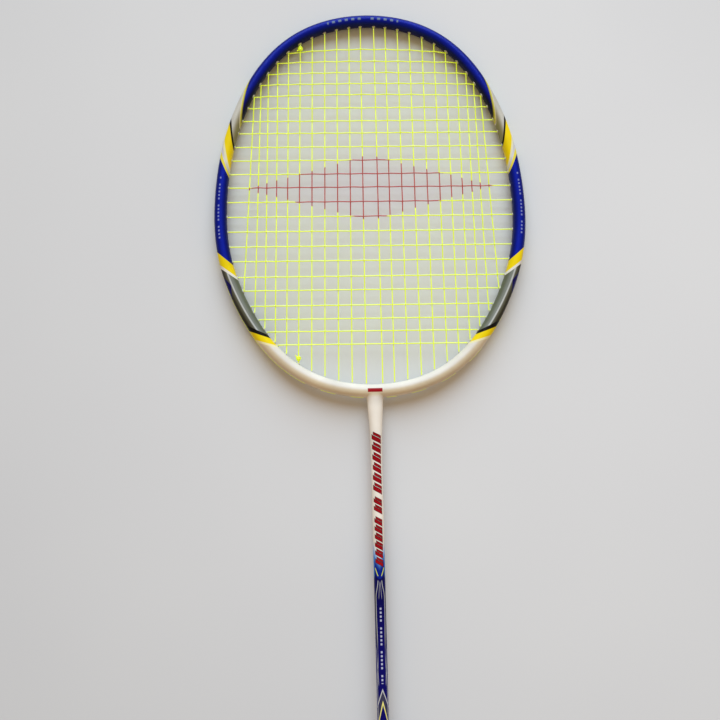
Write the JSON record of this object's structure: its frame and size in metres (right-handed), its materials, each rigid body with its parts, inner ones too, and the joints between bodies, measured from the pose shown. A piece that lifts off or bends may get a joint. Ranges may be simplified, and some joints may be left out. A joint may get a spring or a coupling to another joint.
{
  "type": "badminton racket",
  "caption": "Strung badminton racket with an oval hollow frame, slim round shaft and eight-sided wrapped handle.",
  "frame": {"origin": "centre of the flat end face of the butt", "axes": "+Y from the butt along the shaft to the tip of the head, +X across the head, +Z out of the string plane"},
  "size_m": [0.2036, 0.6736, 0.0282],
  "materials": {
    "frame_paint": "glossy lacquer over graphite laminate, painted in blue, silver, yellow, grey and white bands",
    "t_joint_resin": "moulded composite insert, unpainted",
    "shaft_paint": "glossy lacquer over graphite tube, white fading to blue with yellow and silver trim",
    "cone_plastic": "moulded plastic, semi gloss",
    "core_wood": "bare light wood",
    "cap_plastic": "moulded plastic, satin",
    "badge_plastic": "glossy printed disc, plain rings",
    "staple_steel": "bare steel",
    "grip_leather": "soft synthetic leather, spirally wrapped, perforated",
    "tape_vinyl": "thin stretchy vinyl",
    "grommet_nylon": "pale translucent nylon",
    "string_nylon": "bright yellow-green nylon, slightly translucent, with a painted red panel"
  },
  "bodies": {
    "root": {"head_frame": "frame_paint", "t_joint": "t_joint_resin", "shaft": "shaft_paint", "cone": "cone_plastic", "handle_core": "core_wood", "butt_cap": "cap_plastic", "butt_badge": "badge_plastic", "butt_cap_staples": "staple_steel", "grip_wrap": "grip_leather", "grip_tack": "staple_steel", "finishing_tape": "tape_vinyl", "grommets_top": "grommet_nylon", "grommets_bottom": "grommet_nylon", "grommets_left": "grommet_nylon", "grommets_right": "grommet_nylon", "grommets_wide": "grommet_nylon", "string_mains": "string_nylon", "string_crosses": "string_nylon", "knot_upper": "string_nylon", "knot_lower": "string_nylon"}
  },
  "joints": []
}
